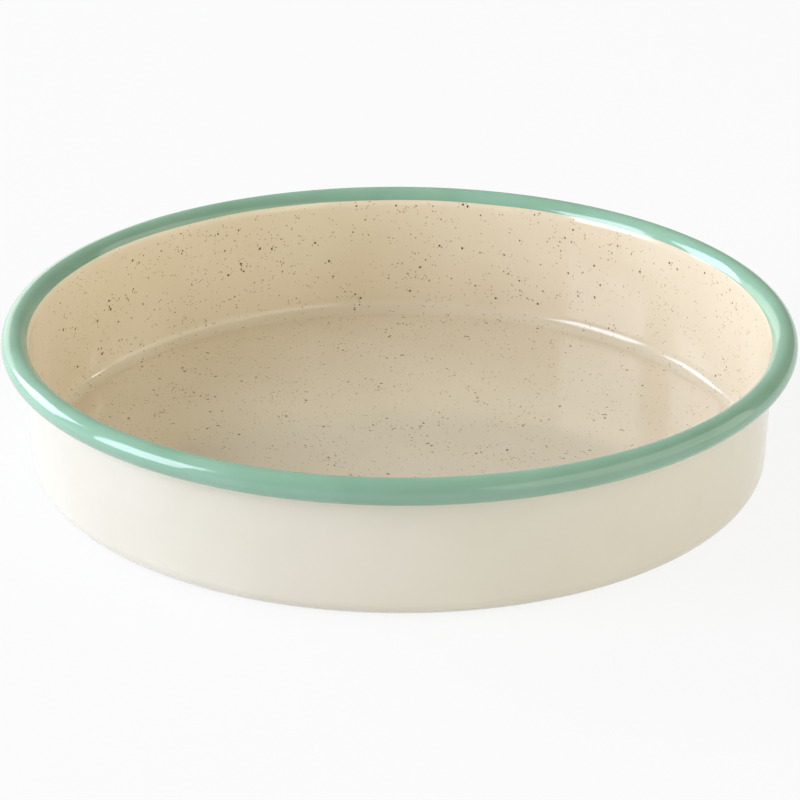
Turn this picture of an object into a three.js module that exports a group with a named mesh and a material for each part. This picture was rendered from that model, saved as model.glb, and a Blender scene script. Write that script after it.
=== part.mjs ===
// Round baking dish: a pan deep-drawn from one disc of sheet steel, its edge rolled outwards into a hollow
// bead, then coated with vitreous enamel. Every layer follows the same cross-section, so each one is that
// section taken at its own depth below the finished inner face and turned about the Z axis.
// Millimetres, +Z up, origin on the axis in the plane that the dish stands on.
import * as THREE from "three";

// Driving dimensions of the finished dish.
const insideDiameter = 251.4; // between the inner faces of the wall, at the height of the bead's centre
const overallHeight = 50; // from the standing plane to the top of the bead
const wallDraft = THREE.MathUtils.degToRad(1); // the wall opens upwards by this angle
const cornerRadius = 5; // inner corner between floor and wall
const beadDiameter = 8.4; // rolled rim, over its enamel
const beadOffset = 0.9; // how far outside the wall's inner face the bead's innermost point lies
const flareExtra = 3.8; // the draw radius that leads the wall into the bead is this much larger than the bead's
const curlGap = 0.6; // slit left between the tucked-in end of the curl and the finished wall
const rimColourTilt = THREE.MathUtils.degToRad(24); // the rim's colour starts where the flare leans this far out

// Layers, from the finished inner face to the finished outer face.
const sheetThickness = 0.7; // deep-drawing steel
const groundCoat = 0.1; // dark enamel that bonds to the steel
const coverCoat = 0.2; // coloured enamel
const bondGap = 0.02; // clearance that keeps neighbouring layers from sharing a face

// Facets of the turned and curved faces. All layers share them, so their faces stay parallel.
const turnSegments = 64;
const cornerSegments = 4;
const rimSegmentAngle = THREE.MathUtils.degToRad(30);

// Depth of each layer's inner face below the finished inner face.
const innerGroundDepth = coverCoat + bondGap;
const steelDepth = innerGroundDepth + groundCoat + bondGap;
const outerGroundDepth = steelDepth + sheetThickness + bondGap;
const outerCoverDepth = outerGroundDepth + groundCoat + bondGap;
const totalThickness = outerCoverDepth + coverCoat;

// Centres and angles of the section. Angles are those of the face's normal, from +R towards +Z.
const beadRadius = beadDiameter / 2;
const flareRadius = beadRadius + flareExtra;
const up = new THREE.Vector2(Math.sin(wallDraft), Math.cos(wallDraft)); // along the wall
const inward = new THREE.Vector2(-Math.cos(wallDraft), Math.sin(wallDraft)); // from the wall to the inside
const beadCentre = new THREE.Vector2(insideDiameter / 2 + beadOffset + beadRadius, overallHeight - beadRadius);
const wallTop = new THREE.Vector2(insideDiameter / 2, beadCentre.y); // a point of the wall's inner face
const wallAngle = Math.PI - wallDraft;
const flareCentre = centreOfFlare();
const flareEnd = beadCentre.clone().sub(flareCentre).angle();
const rimColourAngle = wallAngle - rimColourTilt;
const curlEnd = angleOfCurlEnd();
const cornerCentre = centreOfCorner();

// The flare touches the wall's inner face from outside and holds the bead inside it, tangent to both.
function centreOfFlare() {
  const line = wallTop.clone().addScaledVector(inward, -flareRadius);
  const toLine = line.clone().sub(beadCentre);
  const along = toLine.dot(up);
  const rest = toLine.lengthSq() - flareExtra ** 2;
  return line.addScaledVector(up, -along - Math.sqrt(along ** 2 - rest));
}

// The curl runs round until its finished face is curlGap from the wall's finished outer face, or under the
// bead to its innermost point if the wall stands farther off than that.
function angleOfCurlEnd() {
  const toWall = wallTop.clone().sub(beadCentre).dot(inward) - totalThickness;
  return -Math.acos(Math.max(-1, (curlGap - toWall) / beadRadius)) - wallDraft;
}

// The corner touches the floor and the wall's inner face.
function centreOfCorner() {
  const line = wallTop.clone().addScaledVector(inward, cornerRadius);
  const rise = (totalThickness + cornerRadius - line.y) / up.y;
  return line.addScaledVector(up, rise);
}

function pointAt(centre, radius, angle) {
  return new THREE.Vector2(Math.cos(angle), Math.sin(angle)).multiplyScalar(radius).add(centre);
}

// A point of the flare or the bead, whichever has this normal.
function rimPoint(depth, angle) {
  return angle > flareEnd
    ? pointAt(flareCentre, flareRadius - depth, angle)
    : pointAt(beadCentre, beadRadius - depth, angle);
}

// The section at one depth over the floor, the corner and the wall, from the axis up to the flare.
function panLine(depth) {
  const points = [new THREE.Vector2(0, totalThickness - depth)];
  for (let i = 0; i <= cornerSegments; i++) {
    const angle = THREE.MathUtils.lerp(-Math.PI / 2, -wallDraft, i / cornerSegments);
    points.push(pointAt(cornerCentre, cornerRadius + depth, angle));
  }
  points.push(rimPoint(depth, wallAngle));
  return points;
}

// The section at one depth over the flare and the bead, between two angles. It has a point at each, and at the
// places that all layers share: where the rim's colour starts, where the flare gives way to the bead, and at
// the bead's top, outermost and lowest points.
function rimLine(depth, startAngle, endAngle) {
  const places = [rimColourAngle, flareEnd, Math.PI / 2, 0, -Math.PI / 2];
  const shared = places.filter((a) => a < startAngle && a > endAngle).sort((a, b) => b - a);
  const stops = [startAngle, ...shared, endAngle];
  const points = [rimPoint(depth, startAngle)];
  for (let s = 1; s < stops.length; s++) {
    const sweep = stops[s] - stops[s - 1];
    const steps = Math.max(1, Math.ceil(-sweep / rimSegmentAngle));
    for (let i = 1; i <= steps; i++) points.push(rimPoint(depth, stops[s - 1] + (sweep * i) / steps));
  }
  return points;
}

// A layer of the dish, turned from the lines of its outer and its inner face.
function layer(name, line, depth, thickness, material) {
  const outer = line(depth + thickness);
  const inner = line(depth).reverse();
  const section = [...outer, ...inner];
  if (outer[0].x > 0) section.push(outer[0].clone());
  const geometry = new THREE.LatheGeometry(section, turnSegments).rotateX(Math.PI / 2);
  const mesh = new THREE.Mesh(geometry, material);
  mesh.name = name;
  return mesh;
}

function enamel(colour) {
  return new THREE.MeshStandardMaterial({ color: colour, roughness: 0.12, metalness: 0 });
}

const bareSteel = new THREE.MeshStandardMaterial({ color: 0x8c8f92, roughness: 0.45, metalness: 1 });
const groundEnamel = enamel(0x23262f);
const speckledBeige = enamel(0xdccaa8);
const cream = enamel(0xeee8d8);
const rimGreen = enamel(0x8fbba3);

// Lines of the faces that reach different places along the section.
const panToCurlEnd = (depth) => [...panLine(depth), ...rimLine(depth, wallAngle, curlEnd).slice(1)];
const panToRimColour = (depth) => [...panLine(depth), ...rimLine(depth, wallAngle, rimColourAngle).slice(1)];
const rimColourToCurlEnd = (depth) => rimLine(depth, rimColourAngle - bondGap / beadRadius, curlEnd);

const dish = new THREE.Group();
dish.name = "round_baking_dish";
dish.add(
  layer("steel_shell", panToCurlEnd, steelDepth, sheetThickness, bareSteel),
  layer("ground_coat_inside", panToCurlEnd, innerGroundDepth, groundCoat, groundEnamel),
  layer("ground_coat_outside", panLine, outerGroundDepth, groundCoat, groundEnamel),
  layer("inner_enamel", panToRimColour, 0, coverCoat, speckledBeige),
  layer("outer_enamel", panLine, outerCoverDepth, coverCoat, cream),
  layer("rim_enamel", rimColourToCurlEnd, 0, coverCoat, rimGreen),
);

export default dish;
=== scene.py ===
import math

import bpy
from mathutils import Matrix, Vector


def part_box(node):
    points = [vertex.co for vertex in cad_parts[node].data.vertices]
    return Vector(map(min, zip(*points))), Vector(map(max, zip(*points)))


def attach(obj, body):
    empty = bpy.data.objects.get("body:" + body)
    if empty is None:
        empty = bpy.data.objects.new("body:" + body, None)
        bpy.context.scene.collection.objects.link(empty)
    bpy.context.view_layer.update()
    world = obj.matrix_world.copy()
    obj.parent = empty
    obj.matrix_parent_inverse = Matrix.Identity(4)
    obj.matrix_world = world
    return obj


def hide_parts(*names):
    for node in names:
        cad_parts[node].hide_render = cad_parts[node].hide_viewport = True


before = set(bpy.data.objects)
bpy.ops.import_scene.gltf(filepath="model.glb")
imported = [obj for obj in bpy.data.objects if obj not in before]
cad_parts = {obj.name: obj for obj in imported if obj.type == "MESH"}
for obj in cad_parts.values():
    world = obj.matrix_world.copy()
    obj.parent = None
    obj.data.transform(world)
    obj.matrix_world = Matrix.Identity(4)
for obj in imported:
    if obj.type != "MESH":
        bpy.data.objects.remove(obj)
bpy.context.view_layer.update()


# The pan is one disc of mild steel, deep-drawn to a flat floor and a nearly upright wall, with its edge
# rolled outwards into a hollow curl. Enamel covers all of it, so its grey skin shows only in a cut.
class Wire:
    """An output socket, to be used in expressions. Each operator adds a Math node to the socket's tree."""

    def __init__(self, graph, socket):
        self.graph = graph
        self.socket = socket

    def math(self, operation, *values):
        return self.graph.node("ShaderNodeMath", {"operation": operation}, dict(enumerate(values)))

    def __add__(self, other):
        return self.math("ADD", self, other)

    def __radd__(self, other):
        return self.math("ADD", other, self)

    def __sub__(self, other):
        return self.math("SUBTRACT", self, other)

    def __rsub__(self, other):
        return self.math("SUBTRACT", other, self)

    def __mul__(self, other):
        return self.math("MULTIPLY", self, other)

    def __rmul__(self, other):
        return self.math("MULTIPLY", other, self)

    def __truediv__(self, other):
        return self.math("DIVIDE", self, other)

    def __rtruediv__(self, other):
        return self.math("DIVIDE", other, self)

    def __pow__(self, other):
        return self.math("POWER", self, other)

    def out(self, name):
        """Another output of the same node."""
        return Wire(self.graph, self.socket.node.outputs[name])


class Graph:
    """A tree of nodes, of a finish, of the room or of a shape."""

    NOISE_LOW = 0.3  # a noise seldom leaves the range from here
    NOISE_HIGH = 0.7  # to here

    def __init__(self, tree):
        self.tree = tree
        tree.nodes.clear()

    def node(self, kind, settings=None, sockets=None, output=0):
        """Adds a node with its settings and its sockets' values or links. Gives one of its outputs."""
        made = self.tree.nodes.new(kind)
        for name, value in (settings or {}).items():
            setattr(made, name, value)
        for key, value in (sockets or {}).items():
            # An int is the socket's place. A word is its identifier, where a node has several of one name.
            found = [s for s in made.inputs if key in (s.identifier, s.name)]
            socket = made.inputs[key] if isinstance(key, int) else found[0]
            for item in value if isinstance(value, list) else [value]:
                if isinstance(item, Wire):
                    self.tree.links.new(item.socket, socket)
                else:
                    socket.default_value = item
        return Wire(self, made.outputs[output]) if made.outputs else None

    def blend(self, share, first, second):
        """A colour that goes from the first to the second as share goes from 0 to 1."""
        sockets = {"Factor_Float": share, "A_Color": first, "B_Color": second}
        return self.node("ShaderNodeMix", {"data_type": "RGBA"}, sockets, output=2)

    def noise(self, where, scale, detail=2.0, roughness=0.5):
        sockets = {"Vector": where, "Scale": scale, "Detail": detail, "Roughness": roughness}
        return self.node("ShaderNodeTexNoise", {}, sockets)

    def spread(self, value, low, high, to_low=0.0, to_high=1.0):
        """A value's range from low to high, moved to another range and held there."""
        sockets = {"Value": value, "From Min": low, "From Max": high, "To Min": to_low, "To Max": to_high}
        return self.node("ShaderNodeMapRange", {}, sockets)

    def spread_noise(self, noise, to_low=0.0, to_high=1.0):
        return self.spread(noise, self.NOISE_LOW, self.NOISE_HIGH, to_low, to_high)

    def bump(self, height, distance):
        return self.node("ShaderNodeBump", {}, {"Height": height, "Distance": distance})

    def surface(self, sockets):
        shader = self.node("ShaderNodeBsdfPrincipled", {}, sockets)
        self.node("ShaderNodeOutputMaterial", {}, {"Surface": shader})


def new_finish(name):
    finish = bpy.data.materials.new(name)
    finish.use_nodes = True
    return finish, Graph(finish.node_tree)


def srgb(red, green, blue):
    """A colour as Blender reads it, from the 0 to 255 values of a colour picker."""
    shares = [value / 255 for value in (red, green, blue)]
    return (*[s / 12.92 if s <= 0.04045 else ((s + 0.055) / 1.055) ** 2.4 for s in shares], 1.0)


MM = 0.001
DRAFT = math.radians(1)
CORNER_RADIUS = 5.0 * MM
BEAD_OFFSET = 0.9 * MM  # from the wall's inner face out to the bead's innermost point
FLARE_EXTRA = 3.8 * MM  # the flare's radius is this much larger than the bead's
CURL_GAP = 0.6 * MM  # slit between the end of the curl and the wall
COAT = 0.2 * MM  # a coloured coat
GROUND_COAT = 0.1 * MM
BOND = 0.02 * MM  # gap that stands for the bond between two layers
TURN_STEPS = 256
BEAD_STEPS = 48
FLARE_STEPS = 12
CORNER_STEPS = 24
FLAT_STEPS = 4  # of the floor and of the wall
MERGE_WITHIN = 0.001 * MM
SHARP_EDGE = math.radians(40)

rim_low, rim_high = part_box("rim_enamel")
bead_radius = (rim_high.z - rim_low.z) / 2
bead_centre = Vector((rim_high.x - bead_radius, rim_high.z - bead_radius))
flare_radius = bead_radius + FLARE_EXTRA
wall_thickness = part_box("inner_enamel")[0].z + COAT
wall_up = Vector((math.sin(DRAFT), math.cos(DRAFT)))
wall_in = Vector((-math.cos(DRAFT), math.sin(DRAFT)))
wall_top = bead_centre - Vector((bead_radius + BEAD_OFFSET, 0))
wall_angle = math.pi - DRAFT  # angles are those of a face's normal, from outwards to upwards
ground_depth = COAT + BOND  # depths are from the finished inner face
steel_depth = ground_depth + GROUND_COAT + BOND

# The flare touches the wall from outside and holds the bead inside it. The corner touches floor and wall.
flare_line = wall_top - wall_in * flare_radius
to_line = flare_line - bead_centre
along = to_line.dot(wall_up)
flare_rise = -along - math.sqrt(along**2 - to_line.length_squared + FLARE_EXTRA**2)
flare_centre = flare_line + wall_up * flare_rise
corner_line = wall_top + wall_in * CORNER_RADIUS
corner_centre = corner_line + wall_up * ((wall_thickness + CORNER_RADIUS - corner_line.y) / wall_up.y)
to_bead = bead_centre - flare_centre
flare_end = math.atan2(to_bead.y, to_bead.x)
to_wall = (wall_top - bead_centre).dot(wall_in) - wall_thickness
curl_end = -math.acos((CURL_GAP - to_wall) / bead_radius) - DRAFT


def arc_point(centre, radius, angle):
    return centre + radius * Vector((math.cos(angle), math.sin(angle)))


def arc(centre, radius, start, end, steps):
    """Points of an arc, from one angle to the other."""
    return [arc_point(centre, radius, start + (end - start) * i / steps) for i in range(steps + 1)]


def pan_line(depth):
    """The dish's section at a depth below its inner face, from the axis to the foot of the flare."""
    shares = [i / FLAT_STEPS for i in range(FLAT_STEPS + 1)]
    floor = [Vector((corner_centre.x * share, wall_thickness - depth)) for share in shares[:-1]]
    corner = arc(corner_centre, CORNER_RADIUS + depth, -math.pi / 2, -DRAFT, CORNER_STEPS)
    foot = arc_point(flare_centre, flare_radius - depth, wall_angle)
    wall = [corner[-1].lerp(foot, share) for share in shares[1:]]
    return [*floor, *corner, *wall]


def shell_line(depth):
    """The same, over the flare and the bead to the end of the curl."""
    flare = arc(flare_centre, flare_radius - depth, wall_angle, flare_end, FLARE_STEPS)
    bead = arc(bead_centre, bead_radius - depth, flare_end, curl_end, BEAD_STEPS)
    return [*pan_line(depth), *flare[1:], *bead[1:]]


def layer_points(line, depth, thickness):
    """The closed section of a layer, from the axis along its outer face and back along its inner one."""
    return [*line(depth + thickness), *reversed(line(depth))]


def new_shape(name, inputs):
    """An empty tree of Geometry Nodes with these inputs, each with its kind of socket."""
    tree = bpy.data.node_groups.new(name, "GeometryNodeTree")
    tree.interface.new_socket("Geometry", in_out="INPUT", socket_type="NodeSocketGeometry")
    for label, kind in inputs.items():
        tree.interface.new_socket(label, in_out="INPUT", socket_type=kind)
    tree.interface.new_socket("Geometry", in_out="OUTPUT", socket_type="NodeSocketGeometry")
    return tree, Graph(tree)


def close_shape(graph, geometry, material):
    real = graph.node("GeometryNodeRealizeInstances", {}, {"Geometry": geometry})
    done = graph.node("GeometryNodeSetMaterial", {}, {"Geometry": real, "Material": material})
    graph.node("NodeGroupOutput", {}, {"Geometry": done})


# A section is a string of points in the XZ plane. This tree turns it about the Z axis: it takes a square
# sheet of side 1 about the origin and lays its X along the turn and its Y along the section. A point may
# have a reach, which is how far it moves at the most, where the wave round the dish is at its height.
turned, graph = new_shape("turned_section", {
    "Steps": "NodeSocketInt",
    "Waves": "NodeSocketFloat",
    "Material": "NodeSocketMaterial",
})
section = graph.node("NodeGroupInput", output="Geometry")
count = graph.node("GeometryNodeAttributeDomainSize", {}, {"Geometry": section}, "Point Count")
sheet_sizes = {"Size X": 1.0, "Size Y": 1.0, "Vertices X": section.out("Steps") + 1, "Vertices Y": count}
sheet = graph.node("GeometryNodeMeshGrid", {}, sheet_sizes, "Mesh")
place = graph.node("GeometryNodeInputPosition")
across = graph.node("ShaderNodeSeparateXYZ", {}, {"Vector": place})
angle = (across + 0.5) * math.tau
row = (across.out("Y") + 0.5) * (count - 1)
row = row.math("ROUND", row)
cosine = angle.math("COSINE", angle)
sine = angle.math("SINE", angle)
ring = graph.node("ShaderNodeCombineXYZ", {}, {"X": cosine, "Y": sine})
wave = graph.noise(ring, section.out("Waves"), detail=3.0, roughness=0.6) * 2 - 1


def at_row(field):
    """The parts of a section's vector at the row that a point of the sheet is in."""
    sockets = {"Geometry": section, "Value": field, "Index": row}
    found = graph.node("GeometryNodeSampleIndex", {"data_type": "FLOAT_VECTOR"}, sockets)
    return graph.node("ShaderNodeSeparateXYZ", {}, {"Vector": found})


reach = graph.node("GeometryNodeInputNamedAttribute", {"data_type": "FLOAT_VECTOR"}, {"Name": "reach"})
point = at_row(place)
most = at_row(reach)
radius = point + most * wave
height = point.out("Z") + most.out("Z") * wave
spot = graph.node("ShaderNodeCombineXYZ", {}, {"X": radius * cosine, "Y": radius * sine, "Z": height})
sheet = graph.node("GeometryNodeSetPosition", {}, {"Geometry": sheet, "Position": spot})
sheet = graph.node("GeometryNodeMergeByDistance", {}, {"Geometry": sheet, "Distance": MERGE_WITHIN})
sheet = graph.node("GeometryNodeSetShadeSmooth", {}, {"Geometry": sheet})
close_shape(graph, sheet, section.out("Material"))


def section_mesh(points, moved=None):
    """A section as a mesh. Moved points are where the section goes where the wave is at its height."""
    mesh = bpy.data.meshes.new("section")
    edges = [(i, i + 1) for i in range(len(points) - 1)]
    mesh.from_pydata([(p.x, 0, p.y) for p in points], edges, [])
    reaches = [(q.x - p.x, 0, q.y - p.y) for p, q in zip(points, moved or points)]
    stored = mesh.attributes.new("reach", "FLOAT_VECTOR", "POINT")
    stored.data.foreach_set("vector", [number for vector in reaches for number in vector])
    return mesh


def made_by(tree, name, start, **inputs):
    """The plain mesh object that a tree makes of a start mesh."""
    piece = bpy.data.objects.new(name, start)
    bpy.context.scene.collection.objects.link(piece)
    modifier = piece.modifiers.new(tree.name, "NODES")
    modifier.node_group = tree
    for item in tree.interface.items_tree:
        if item.in_out == "INPUT" and item.name in inputs:
            modifier[item.identifier] = inputs[item.name]
    shaped = piece.evaluated_get(bpy.context.evaluated_depsgraph_get())
    mesh = bpy.data.meshes.new_from_object(shaped)
    piece.modifiers.remove(modifier)
    piece.data = mesh
    mesh.set_sharp_from_angle(angle=SHARP_EDGE)
    return piece


def stand_in(piece, node):
    """Puts a piece in the place of a solid of the frame."""
    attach(piece, "root")
    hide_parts(node)


MILL_GRAIN = (60.0, 1800.0, 1800.0)  # to a metre, long in the way that the sheet was rolled
STAIN_SHARE = 0.3  # of the colour's change, the rest being grain

sheet_steel, graph = new_finish("sheet_steel")
where = graph.node("ShaderNodeTexCoord", output="Object")
along_the_mill = graph.node("ShaderNodeMapping", {}, {"Vector": where, "Scale": MILL_GRAIN})
grain = graph.noise(along_the_mill, scale=1.0, detail=4.0)
stain = graph.noise(where, scale=35.0, detail=3.0)
tarnish = grain * (1 - STAIN_SHARE) + stain * STAIN_SHARE
graph.surface({
    "Base Color": graph.blend(tarnish, srgb(118, 120, 123), srgb(166, 168, 171)),
    "Metallic": 1.0,
    "Roughness": graph.spread_noise(grain, 0.36, 0.52),
    "Normal": graph.bump(grain, 0.004 * MM),
})
pan_section = section_mesh(layer_points(shell_line, steel_depth, wall_thickness - 2 * steel_depth))
pan = made_by(turned, "pan", pan_section, Steps=TURN_STEPS, Material=sheet_steel)
stand_in(pan, "steel_shell")


# The ground coats are thin dark enamel, sprayed on the bare steel inside and outside and fired first. They
# hold the coloured coats, which cover them, to the steel, and they are full of fine gas bubbles.
BUBBLE_SCALE = 1500.0  # cells to a metre, with one bubble in each
PIT_FLOOR = 0.05  # a bubble's radius at the bottom of its pit, in cells
PIT_EDGE = 0.28  # and at the surface

ground_enamel, graph = new_finish("ground_enamel")
where = graph.node("ShaderNodeTexCoord", output="Object")
cloud = graph.noise(where, scale=60.0, detail=4.0)
bubbles = graph.node("ShaderNodeTexVoronoi", {}, {"Vector": where, "Scale": BUBBLE_SCALE}, "Distance")
graph.surface({
    "Base Color": graph.blend(cloud, srgb(30, 32, 39), srgb(47, 49, 60)),
    "Roughness": graph.spread_noise(cloud, 0.26, 0.4),
    "IOR": 1.53,
    "Normal": graph.bump(graph.spread(bubbles, PIT_FLOOR, PIT_EDGE), 0.01 * MM),
})
ground_section = section_mesh(layer_points(shell_line, ground_depth, GROUND_COAT))
ground_inside = made_by(turned, "ground_inside", ground_section, Steps=TURN_STEPS, Material=ground_enamel)
stand_in(ground_inside, "ground_coat_inside")
outer_ground_depth = wall_thickness - ground_depth - GROUND_COAT
ground_section = section_mesh(layer_points(pan_line, outer_ground_depth, GROUND_COAT))
ground_outside = made_by(turned, "ground_outside", ground_section, Steps=TURN_STEPS, Material=ground_enamel)
stand_in(ground_outside, "ground_coat_outside")


# The inner coat is glossy beige glass enamel, poured over the floor, the rounded corner and the wall, and
# fired. It runs a little way under the green of the rim. Fine brown dust of the specks has melted into it.
COLOUR_TILT = math.radians(24)  # the green starts where the flare leans this far out
UNDER_RIM = 1.2 * MM  # how far the inner coat runs on under the green
LAP_STEPS = 16  # from the wall to the inner coat's end
DUST_SCALE = 700.0  # cells to a metre, with one grain in each
GRAIN_SMALLEST = 0.1  # radius, in cells
GRAIN_GROWTH = 0.24  # from the smallest to the largest
GRAIN_EDGE = 0.08  # width of a grain's soft edge, in cells
GRAIN_FAINTEST = 0.12  # share of the brown
GRAIN_DARKEST = 0.5

colour_angle = wall_angle - COLOUR_TILT
inner_end = colour_angle - UNDER_RIM / flare_radius


def inner_line(depth):
    lap = arc(flare_centre, flare_radius - depth, wall_angle, inner_end, LAP_STEPS)
    return [*pan_line(depth), *lap[1:]]


speckled_enamel, graph = new_finish("speckled_enamel")
where = graph.node("ShaderNodeTexCoord", output="Object")
cloud = graph.noise(where, scale=22.0, detail=3.0)
beige = graph.blend(graph.spread_noise(cloud), srgb(231, 217, 191), srgb(237, 224, 200))
from_grain = graph.node("ShaderNodeTexVoronoi", {}, {"Vector": where, "Scale": DUST_SCALE}, "Distance")
grain_kind = graph.node("ShaderNodeSeparateColor", {}, {"Color": from_grain.out("Color")})
grain_size = GRAIN_SMALLEST + GRAIN_GROWTH * grain_kind**3
darkness = graph.spread(grain_kind.out("Green"), 0.0, 1.0, GRAIN_FAINTEST, GRAIN_DARKEST)
dust = graph.spread(grain_size - from_grain, 0.0, GRAIN_EDGE) * darkness
peel = graph.noise(where, scale=130.0)
graph.surface({
    "Base Color": graph.blend(dust, beige, srgb(128, 98, 38)),
    "Roughness": graph.spread_noise(cloud, 0.09, 0.13),
    "IOR": 1.6,
    "Normal": graph.bump(peel, 0.04 * MM),
})
inner_section = section_mesh(layer_points(inner_line, 0, COAT))
inner_coat = made_by(turned, "inner_coat", inner_section, Steps=TURN_STEPS, Material=speckled_enamel)
stand_in(inner_coat, "inner_enamel")


# The specks are flakes of dark brown frit, flicked onto the wet inner coat and fired level with it. Most
# are about 0.4 mm across, a few a whole millimetre. They lie in short strings, thick in some places and
# thin in others, and each is an irregular chip.
STRING_DENSITY = 60000  # to a square metre, before the thin places lose theirs
STRING_LONGEST = 5
STRING_STEP = 1.1 * MM
STEP_SHORTEST = 0.6  # of that step
STEP_GROWTH = 0.8  # from the shortest to the longest
SPECK_SEED = 11
SPECK_SMALLEST = 0.31 * MM
SPECK_LARGEST = 1.05 * MM
SPECK_FALL = -0.3  # of the size, with the share of the specks that are larger
SPECK_CLEAR = 7  # steps of the lap, next to the green, without specks
PATCH_SCALE = -45.0  # to a metre, negative to mirror the noise, so that the patches lie as in the photo
PATCH_LOW = 0.35  # of the noise, where a place is thinnest
PATCH_HIGH = 0.65  # and where it is thickest
PATCH_THIN = 0.12  # of the strings, that the thinnest places keep
RIGHT_SHARE = 0.5  # of the strings, that the right side keeps, as they were flicked from the left
FLAKE_DEPTH = 0.04 * MM
FLAKE_PROUD = 0.01 * MM
FLAKE_KINDS = 5
FLAKE_CORNERS = 7
FLAKE_TOP = 0.45  # radius at the top, of a flake of size 1
FLAKE_FOOT = 0.5
FLAKE_BREAK = 0.9  # width of the space that a corner of such a flake may lie in
KIND_APART = 3.7  # from one kind to the next, in the noise that moves the corners
STRETCH_LEAST = 0.8
STRETCH_GROWTH = 0.45  # from the least to the most
TONE_SHARE = 0.8  # of the colour's change, that is the flake's own
BURN_SHARE = 0.3

speck_shape, graph = new_shape("specks_on_a_face", {
    "Steps": "NodeSocketInt",
    "Density": "NodeSocketFloat",
    "Seed": "NodeSocketInt",
    "Smallest": "NodeSocketFloat",
    "Largest": "NodeSocketFloat",
    "Material": "NodeSocketMaterial",
})
sheet = graph.node("NodeGroupInput", output="Geometry")
seed = sheet.out("Seed")
turned_sheet = {"Geometry": sheet, "Steps": sheet.out("Steps")}
face = graph.node("GeometryNodeGroup", {"node_tree": turned}, turned_sheet)
scatter = {"Mesh": face, "Density": sheet.out("Density"), "Seed": seed}
points = graph.node("GeometryNodeDistributePointsOnFaces", {}, scatter)
rotation = points.out("Rotation")


def drawn(number):
    """A number from 0 to 1 for each speck. Each call has a number of its own."""
    return graph.node("FunctionNodeRandomValue", {}, {"Seed": seed + number}, output=1)


place = graph.node("GeometryNodeInputPosition")
patch = graph.noise(place, PATCH_SCALE, detail=3.0)
patch = graph.spread(patch, PATCH_LOW, PATCH_HIGH, PATCH_THIN, 1.0)
across = graph.node("ShaderNodeSeparateXYZ", {}, {"Vector": place})
patch = patch * graph.spread(across, 0.0, rim_high.x, 1.0, RIGHT_SHARE)
kept = drawn(6)
thin = {"Geometry": points, "Selection": kept.math("GREATER_THAN", kept, patch)}
points = graph.node("GeometryNodeDeleteGeometry", {}, thin)
headed = {"Geometry": points, "Name": "heading", "Value": drawn(7) * math.tau}
points = graph.node("GeometryNodeStoreNamedAttribute", {}, headed)
# The amount is cut down to a whole number, so a string has from 1 to STRING_LONGEST specks.
string = {"Geometry": points, "Amount": 1 + (STRING_LONGEST - 0.01) * drawn(8) ** 3}
points = graph.node("GeometryNodeDuplicateElements", {"domain": "POINT"}, string)
step = points.out("Duplicate Index") * (STRING_STEP * (STEP_SHORTEST + STEP_GROWTH * drawn(9)))
heading = graph.node("GeometryNodeInputNamedAttribute", {}, {"Name": "heading"})
heading = heading + points.out("Duplicate Index") * (drawn(10) - 0.5)
cosine = heading.math("COSINE", heading)
sine = heading.math("SINE", heading)
ahead = graph.node("ShaderNodeCombineXYZ", {}, {"X": step * cosine, "Y": step * sine})
ahead = graph.node("FunctionNodeRotateVector", {}, {"Vector": ahead, "Rotation": rotation})
points = graph.node("GeometryNodeSetPosition", {}, {"Geometry": points, "Offset": ahead})


def on_the_face(field):
    """A vector of the face, at its nearest point."""
    sockets = {"Mesh": face, "Value": field}
    return graph.node("GeometryNodeSampleNearestSurface", {"data_type": "FLOAT_VECTOR"}, sockets)


points = graph.node("GeometryNodeSetPosition", {}, {"Geometry": points, "Position": on_the_face(place)})
flakes = []
blank = {
    "Vertices": FLAKE_CORNERS,
    "Radius Top": FLAKE_TOP,
    "Radius Bottom": FLAKE_FOOT,
    "Depth": FLAKE_DEPTH,
}
for kind in range(FLAKE_KINDS):
    flake = graph.node("GeometryNodeMeshCone", {}, blank)
    corner = graph.node("ShaderNodeSeparateXYZ", {}, {"Vector": place})
    flat = {"X": corner, "Y": corner.out("Y"), "Z": KIND_APART * kind}
    flat = graph.node("ShaderNodeCombineXYZ", {}, flat)
    broken = graph.noise(flat, scale=1.9, detail=1.0).out("Color")
    shift = graph.node("ShaderNodeSeparateXYZ", {}, {"Vector": broken})
    moved = {
        "X": (shift - 0.5) * FLAKE_BREAK,
        "Y": (shift.out("Y") - 0.5) * FLAKE_BREAK,
        "Z": FLAKE_PROUD - FLAKE_DEPTH,
    }
    moved = graph.node("ShaderNodeCombineXYZ", {}, moved)
    flake = graph.node("GeometryNodeSetPosition", {}, {"Geometry": flake, "Offset": moved})
    flakes.append(graph.node("GeometryNodeGeometryToInstance", {}, {"Geometry": flake}))
flakes = graph.node("GeometryNodeJoinGeometry", {}, {"Geometry": flakes})
size = sheet.out("Smallest") * drawn(1) ** SPECK_FALL
size = size.math("MINIMUM", size, sheet.out("Largest"))
stretch = STRETCH_LEAST + STRETCH_GROWTH * drawn(2)
scale = graph.node("ShaderNodeCombineXYZ", {}, {"X": size * stretch, "Y": size / stretch, "Z": 1.0})
turn = graph.node("ShaderNodeCombineXYZ", {}, {"Z": drawn(3) * math.tau})
turn = graph.node("FunctionNodeEulerToRotation", {}, {"Euler": turn})
lying = {"Rotation": turn, "Vector": on_the_face(graph.node("GeometryNodeInputNormal"))}
turn = graph.node("FunctionNodeAlignRotationToVector", {"axis": "Z"}, lying)
toned = {"Geometry": points, "Name": "tone", "Value": drawn(4)}
points = graph.node("GeometryNodeStoreNamedAttribute", {}, toned)
placed = {
    "Points": points,
    "Instance": flakes,
    "Pick Instance": True,
    "Instance Index": drawn(5) * FLAKE_KINDS,
    "Rotation": turn,
    "Scale": scale,
}
specks = graph.node("GeometryNodeInstanceOnPoints", {}, placed)
close_shape(graph, specks, sheet.out("Material"))

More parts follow.
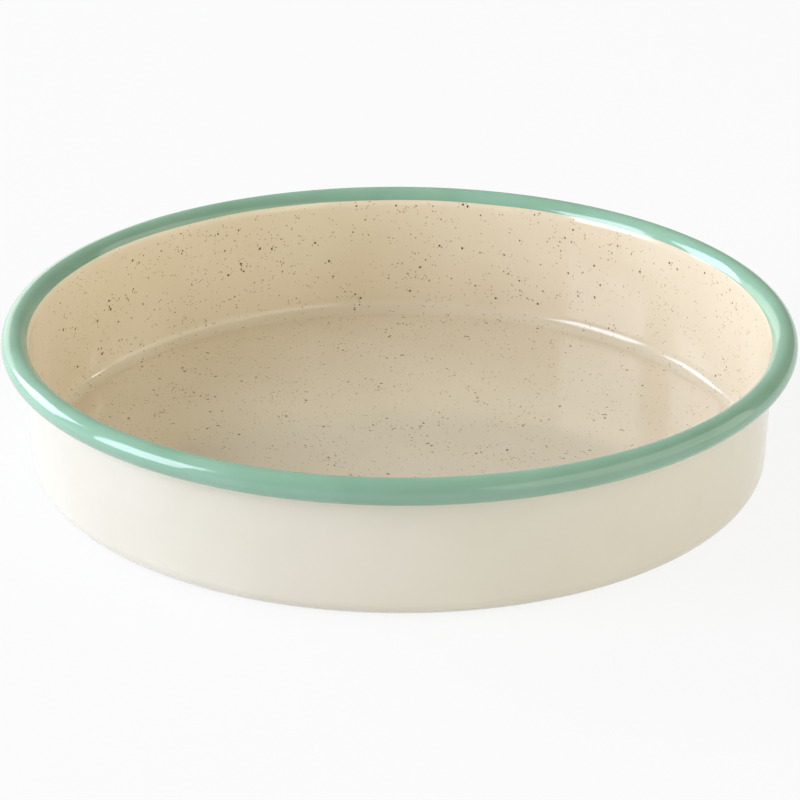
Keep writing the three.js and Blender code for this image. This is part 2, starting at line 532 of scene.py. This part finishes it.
frit, graph = new_finish("brown_frit")
tone = graph.node("ShaderNodeAttribute", {"attribute_name": "tone"}, output="Fac")
where = graph.node("ShaderNodeTexCoord", output="Object")
burn = graph.noise(where, scale=2600.0)
shade = tone * TONE_SHARE + burn * BURN_SHARE
graph.surface({
    "Base Color": graph.blend(shade, srgb(68, 47, 8), srgb(142, 104, 30)),
    "Roughness": graph.spread_noise(burn, 0.1, 0.2),
    "IOR": 1.6,
})
below_the_rim = inner_line(0)[:-SPECK_CLEAR]
specks = made_by(
    speck_shape,
    "specks",
    section_mesh([*reversed(below_the_rim)]),
    Steps=TURN_STEPS,
    Density=STRING_DENSITY,
    Seed=SPECK_SEED,
    Smallest=SPECK_SMALLEST,
    Largest=SPECK_LARGEST,
    Material=frit,
)
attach(specks, "root")


# The outer coat is glossy cream enamel over the base, the outer corner and the outside of the wall, up into
# the groove under the rolled rim. It is plain, with only the slight waviness of a sprayed coat.
cream_enamel, graph = new_finish("cream_enamel")
where = graph.node("ShaderNodeTexCoord", output="Object")
cloud = graph.noise(where, scale=18.0, detail=3.0)
peel = graph.noise(where, scale=120.0)
graph.surface({
    "Base Color": graph.blend(graph.spread_noise(cloud), srgb(218, 211, 196), srgb(223, 217, 203)),
    "Roughness": graph.spread_noise(cloud, 0.1, 0.15),
    "IOR": 1.55,
    "Normal": graph.bump(peel, 0.04 * MM),
})
outer_section = section_mesh(layer_points(pan_line, wall_thickness - COAT, COAT))
outer_coat = made_by(turned, "outer_coat", outer_section, Steps=TURN_STEPS, Material=cream_enamel)
stand_in(outer_coat, "outer_enamel")


# The rim coat is sage green enamel, brushed round the rolled rim while the dish turns and fired last. Its
# inner edge lies over the beige as a thin lip that wanders a little. It ends inside the curl, by the wall.
LIP = 0.02 * MM  # the green's thickness over the beige
LIP_BITE = 0.01 * MM  # how far the green sinks into the beige
LIP_ROUND = 0.5 * MM  # the width of the lip's rounded edge
LIP_FADE = 3.2 * MM  # from the edge to where the green is level with the bead
LIP_STEPS = 20  # from the edge to the bead
LIP_CROWDING = 1.6  # more than 1, so that the steps are closest at the edge
LAP_CLEARANCE = 0.1 * MM  # between the inner coat's end and the full depth of the green
EDGE_DROP = 0.3 * MM  # from the frame's colour line down to the brushed edge, on average
EDGE_WANDER = 0.4 * MM
EDGE_WAVES = 3.0

lap_end = inner_end - LAP_CLEARANCE / flare_radius
brushed_edge = colour_angle + EDGE_DROP / flare_radius


def rim_section(edge):
    """The rim coat's section, closed, with its inner edge at this angle."""
    over = []
    under = []
    for i in range(LIP_STEPS):
        angle = edge + (flare_end - edge) * (i / LIP_STEPS) ** LIP_CROWDING
        from_edge = flare_radius * (edge - angle)
        rise = math.sqrt(min(1.0, from_edge / LIP_ROUND))
        fade = max(0.0, 1 - from_edge / LIP_FADE)
        proud = LIP * rise * fade * fade * (3 - 2 * fade)
        depth = LIP_BITE if angle > lap_end else COAT
        over.append(arc_point(flare_centre, flare_radius + proud, angle))
        under.append(arc_point(flare_centre, flare_radius - depth, angle))
    over += arc(bead_centre, bead_radius, flare_end, curl_end, BEAD_STEPS)
    under += arc(bead_centre, bead_radius - COAT, flare_end, curl_end, BEAD_STEPS)
    return [*under, *reversed(over), under[0]]


green_enamel, graph = new_finish("green_enamel")
where = graph.node("ShaderNodeTexCoord", output="Object")
cloud = graph.noise(where, scale=40.0, detail=3.0)
ripple = graph.noise(where, scale=95.0)
graph.surface({
    "Base Color": graph.blend(graph.spread_noise(cloud), srgb(127, 168, 145), srgb(139, 178, 157)),
    "Roughness": graph.spread_noise(cloud, 0.08, 0.13),
    "IOR": 1.65,
    "Normal": graph.bump(ripple, 0.08 * MM),
})
highest_edge = brushed_edge - EDGE_WANDER / flare_radius
rim_mesh = section_mesh(rim_section(brushed_edge), rim_section(highest_edge))
rim_coat = made_by(turned, "rim_coat", rim_mesh, Steps=TURN_STEPS, Waves=EDGE_WAVES, Material=green_enamel)
stand_in(rim_coat, "rim_enamel")


# The floor is a plain white sheet that the dish stands on. It looks white to the eye and in the enamel, and
# keeps a little of the dish's shadow. The room is white at the horizon, and just above that it turns to the
# warm grey of the ceiling.
FLOOR_REACH = 4.0
FLOOR_DROP = 0.05 * MM
FLOOR_SHADOW = 0.15  # share of the floor's look that the lamps light
WHITE = srgb(255, 255, 255)
PAPER = srgb(246, 246, 246)
CEILING = srgb(164, 162, 154)
CEILING_EDGE = 0.08  # the sine of the height at which the ceiling's grey is reached

white_sheet, graph = new_finish("white_sheet")
rays = graph.node("ShaderNodeLightPath", output="Is Camera Ray")
seen = rays + rays.out("Is Glossy Ray") + rays.out("Is Transmission Ray")
seen = seen.math("MINIMUM", seen, 1.0)
paper = graph.node("ShaderNodeBsdfDiffuse", {}, {"Color": PAPER})
glow = graph.node("ShaderNodeEmission", {}, {"Color": WHITE})
both = graph.node("ShaderNodeMixShader", {}, {0: seen * (1 - FLOOR_SHADOW), 1: paper, 2: glow})
graph.node("ShaderNodeOutputMaterial", {}, {"Surface": both})
floor_mesh = bpy.data.meshes.new("floor")
sides = ((-1, -1), (1, -1), (1, 1), (-1, 1))
corners = [(x * FLOOR_REACH, y * FLOOR_REACH, -FLOOR_DROP) for x, y in sides]
floor_mesh.from_pydata(corners, [], [(0, 1, 2, 3)])
floor_mesh.materials.append(white_sheet)
floor = bpy.data.objects.new("floor", floor_mesh)
bpy.context.scene.collection.objects.link(floor)

room = bpy.data.worlds.new("white_room")
room.use_nodes = True
bpy.context.scene.world = room
graph = Graph(room.node_tree)
towards = graph.node("ShaderNodeTexCoord", output="Generated")
rise = graph.node("ShaderNodeSeparateXYZ", {}, {"Vector": towards}, "Z")
shade = graph.blend(graph.spread(rise, 0.0, CEILING_EDGE), WHITE, CEILING)
sky = graph.node("ShaderNodeBackground", {}, {"Color": shade})
graph.node("ShaderNodeOutputWorld", {}, {"Surface": sky})


# The lamps are two bright soft boxes on the left, dim panels left behind, on the right and in front, and a
# small box right behind for the streak in the inner corner. One more panel on the left lights the rim alone
# and has no mirror image. Angles are in degrees, and the azimuth is from +X towards +Y.
AIM = Vector((0, 0, 25 * MM))
COOL = (0.8, 0.865, 1.03)
WARM = (1.0, 0.97, 0.87)


def soft_box(name, azimuth, elevation, width, height, brightness, tint, distance=3.0):
    """An area lamp turned to the dish. Width and height are angles too, as seen from the dish."""
    lamp = bpy.data.lights.new(name, "AREA")
    lamp.shape = "RECTANGLE"
    lamp.size = 2 * distance * math.tan(math.radians(width / 2))
    lamp.size_y = 2 * distance * math.tan(math.radians(height / 2))
    lamp.energy = math.pi * brightness * lamp.size * lamp.size_y
    lamp.color = tint
    around = math.radians(azimuth)
    up = math.radians(elevation)
    away = Vector((math.cos(up) * math.cos(around), math.cos(up) * math.sin(around), math.sin(up)))
    stand = bpy.data.objects.new(name, lamp)
    turn = away.to_track_quat("Z", "Y").to_matrix().to_4x4()
    stand.matrix_world = Matrix.Translation(AIM + away * distance) @ turn
    bpy.context.scene.collection.objects.link(stand)
    return stand


soft_box("box_left_front", 196, 20.5, width=30, height=38, brightness=7.0, tint=COOL)
soft_box("box_left_back", 150.5, 19, width=27, height=26, brightness=6.5, tint=COOL)
soft_box("panel_left_back", 118, 10, width=36, height=18, brightness=1.2, tint=WARM)
soft_box("panel_right", 338, 20, width=85, height=42, brightness=1.25, tint=WARM, distance=2.0)
small_box = soft_box("box_right_back", 31, 22, width=4, height=7, brightness=9.0, tint=WARM)
front_panel = soft_box("panel_front", 275, 14, width=80, height=28, brightness=0.6, tint=WARM, distance=2.0)
rim_panel = soft_box("panel_left", 170, 42, width=70, height=45, brightness=1.9, tint=WARM)
rim_panel.visible_glossy = False
lights_only = {small_box: [inner_coat], front_panel: [inner_coat, outer_coat], rim_panel: [rim_coat]}
for lamp, pieces in lights_only.items():
    lamp.light_linking.receiver_collection = bpy.data.collections.new("lit_by_" + lamp.name)
    for piece in pieces:
        lamp.light_linking.receiver_collection.objects.link(piece)


# The camera stands in front of the dish and above it, as the photograph was taken, with a long lens.
CAMERA_PLACE = Vector((0, -0.84588, 0.39065))
CAMERA_DOWN = math.radians(23.779)
CAMERA_ROLL = math.radians(0.239)
camera = bpy.data.cameras.new("camera")
camera.sensor_width = 36.0
camera.lens = 120.27
camera.shift_x = 0.00096
camera.clip_start = 0.01
stand = bpy.data.objects.new("camera", camera)
tilt = Matrix.Rotation(math.pi / 2 - CAMERA_DOWN, 4, "X")
roll = Matrix.Rotation(CAMERA_ROLL, 4, "Z")
stand.matrix_world = Matrix.Translation(CAMERA_PLACE) @ tilt @ roll
bpy.context.scene.collection.objects.link(stand)
bpy.context.scene.camera = stand
bpy.context.scene.view_settings.view_transform = "Standard"
